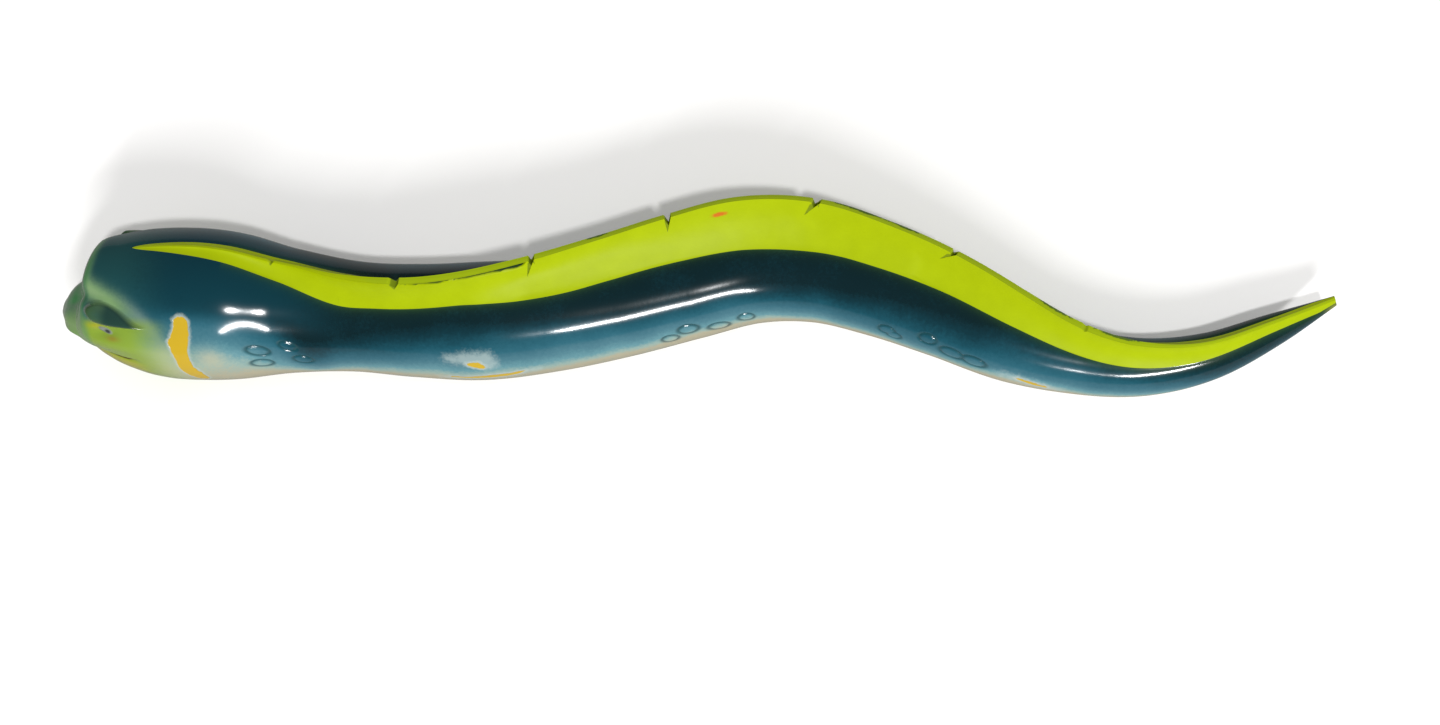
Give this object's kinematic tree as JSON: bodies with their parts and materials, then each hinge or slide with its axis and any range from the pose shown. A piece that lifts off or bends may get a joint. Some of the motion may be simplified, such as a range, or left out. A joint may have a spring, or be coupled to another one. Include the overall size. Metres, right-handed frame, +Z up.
{
  "type": "bendable moray eel figure",
  "caption": "Bendable soft plastic moray eel figure with a tall back fin and a bulging head, lying on its belly in a swimming wave.",
  "frame": {"origin": "on the table under the middle of the trunk, on the flattened belly", "axes": "+X from the head towards the tail, +Y to the side that the back leans to, +Z up from the table"},
  "size_m": [0.1934, 0.026, 0.0226],
  "materials": {
    "painted_vinyl": "glossy sprayed paint on soft moulded vinyl",
    "fin_paint": "glossy neon yellow-green paint",
    "armature_wire": "soft drawn wire"
  },
  "bodies": {
    "head": {"head": "painted_vinyl", "head_fin": "fin_paint", "head_wire": "armature_wire"},
    "nape": {"nape": "painted_vinyl", "nape_fin": "fin_paint", "nape_wire": "armature_wire"},
    "fore_trunk": {"fore_trunk": "painted_vinyl", "fore_trunk_fin": "fin_paint", "fore_trunk_wire": "armature_wire"},
    "upper_trunk": {"upper_trunk": "painted_vinyl", "upper_trunk_fin": "fin_paint", "upper_trunk_wire": "armature_wire"},
    "mid_trunk": {"mid_trunk": "painted_vinyl", "mid_trunk_fin": "fin_paint", "mid_trunk_wire": "armature_wire"},
    "lower_trunk": {"lower_trunk": "painted_vinyl", "lower_trunk_fin": "fin_paint", "lower_trunk_wire": "armature_wire"},
    "rear_trunk": {"rear_trunk": "painted_vinyl", "rear_trunk_fin": "fin_paint", "rear_trunk_wire": "armature_wire"},
    "tail": {"tail": "painted_vinyl", "tail_fin": "fin_paint", "tail_wire": "armature_wire"}
  },
  "joints": [
    {"name": "upper_trunk_bend", "type": "hinge", "parent": "mid_trunk", "child": "upper_trunk", "pos_m": [-0.0095, -0.00221, 0.00752], "axis": [0, 0, -1], "range_deg": [-24, 24]},
    {"name": "fore_trunk_bend", "type": "hinge", "parent": "upper_trunk", "child": "fore_trunk", "pos_m": [-0.03, -0.00656, 0.0086], "axis": [0, 0, -1], "range_deg": [-22, 22]},
    {"name": "nape_bend", "type": "hinge", "parent": "fore_trunk", "child": "nape", "pos_m": [-0.051, -0.00745, 0.00867], "axis": [0, 0, -1], "range_deg": [-20, 20]},
    {"name": "head_bend", "type": "hinge", "parent": "nape", "child": "head", "pos_m": [-0.0705, -0.00614, 0.0096], "axis": [0, 0, -1], "range_deg": [-18, 18]},
    {"name": "lower_trunk_bend", "type": "hinge", "parent": "mid_trunk", "child": "lower_trunk", "pos_m": [0.0095, -0.00007, 0.00689], "axis": [0, 0, 1], "range_deg": [-26, 26]},
    {"name": "rear_trunk_bend", "type": "hinge", "parent": "lower_trunk", "child": "rear_trunk", "pos_m": [0.028, -0.006, 0.00626], "axis": [0, 0, 1], "range_deg": [-28, 28]},
    {"name": "tail_bend", "type": "hinge", "parent": "rear_trunk", "child": "tail", "pos_m": [0.0485, -0.01277, 0.00485], "axis": [0, 0, 1], "range_deg": [-30, 30]}
  ]
}
